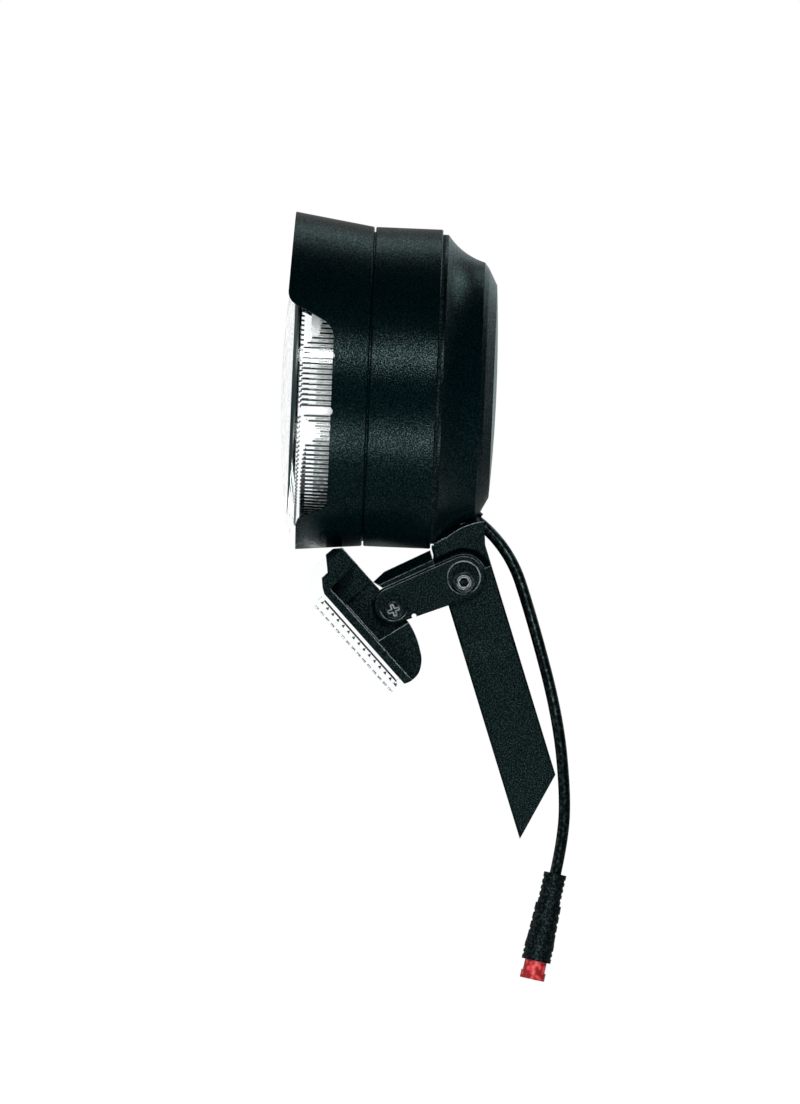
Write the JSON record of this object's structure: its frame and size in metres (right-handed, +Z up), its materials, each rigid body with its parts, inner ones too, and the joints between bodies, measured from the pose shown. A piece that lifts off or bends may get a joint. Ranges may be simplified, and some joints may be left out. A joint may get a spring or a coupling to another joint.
{
  "type": "bicycle headlight",
  "caption": "Round bicycle headlight with a hooded clear lens, on a forked mounting stem with a mitred foot, with a tilting front reflector on a link and a hanging cable with a plug.",
  "frame": {"origin": "centre of the crown bolt's bore in the plane of the stem's mitred foot face", "axes": "+Z up with the lamp upright, the light shines towards -Y, X is across the bicycle and the shape, its cable apart, is mirrored about X = 0"},
  "size_m": [0.0994, 0.0927, 0.2298],
  "materials": {
    "lamp_plastic": "satin",
    "stem_plastic": "satin",
    "clear_lens": "gloss",
    "prism_lens": "gloss",
    "mirror_coating": "gloss",
    "seal_rubber": "matte",
    "circuit_board": "satin",
    "emitter": "gloss",
    "heat_sink_metal": "brushed",
    "steel": "satin",
    "black_steel": "satin",
    "dark_component": "matte",
    "brass": "satin",
    "cable_rubber": "satin",
    "connector_rubber": "matte",
    "insert_red": "satin"
  },
  "bodies": {
    "stem": {"mount_stem": "stem_plastic", "pivot_bolt": "black_steel", "pivot_nut": "black_steel", "pivot_washers": "black_steel", "cable_lower": "cable_rubber", "connector_body": "connector_rubber", "connector_insert": "insert_red", "connector_pins": "brass"},
    "head": {"front_bezel": "lamp_plastic", "front_lens": "clear_lens", "lens_gasket": "seal_rubber", "main_housing": "lamp_plastic", "reflector_bowl": "mirror_coating", "led_board": "circuit_board", "led_emitter": "emitter", "heat_sink": "heat_sink_metal", "heat_sink_screws": "steel", "driver_board": "circuit_board", "driver_inductor": "dark_component", "driver_capacitor": "heat_sink_metal", "power_pins": "brass", "board_screws": "steel", "rear_gasket": "seal_rubber", "rear_cover": "lamp_plastic", "cover_screws": "steel", "cable_gland": "cable_rubber", "pivot_bush": "dark_component", "cable_upper": "cable_rubber"},
    "link": {"reflector_link": "stem_plastic", "reflector_screw": "black_steel", "reflector_nut": "black_steel"},
    "reflector": {"reflector_housing": "stem_plastic", "reflector_lens": "prism_lens"}
  },
  "joints": [
    {"name": "head_tilt", "type": "hinge", "parent": "stem", "child": "head", "pos_m": [0, -0.02517, 0.0669], "axis": [1, 0, 0], "range_deg": [-12, 0], "deforming": ["cable_upper"]},
    {"name": "link_swing", "type": "hinge", "parent": "stem", "child": "link", "pos_m": [0, -0.02517, 0.0669], "axis": [1, 0, 0], "range_deg": [0, 12]},
    {"name": "reflector_tilt", "type": "hinge", "parent": "link", "child": "reflector", "pos_m": [0, -0.04604, 0.0576], "axis": [1, 0, 0], "range_deg": [0, 12]}
  ]
}
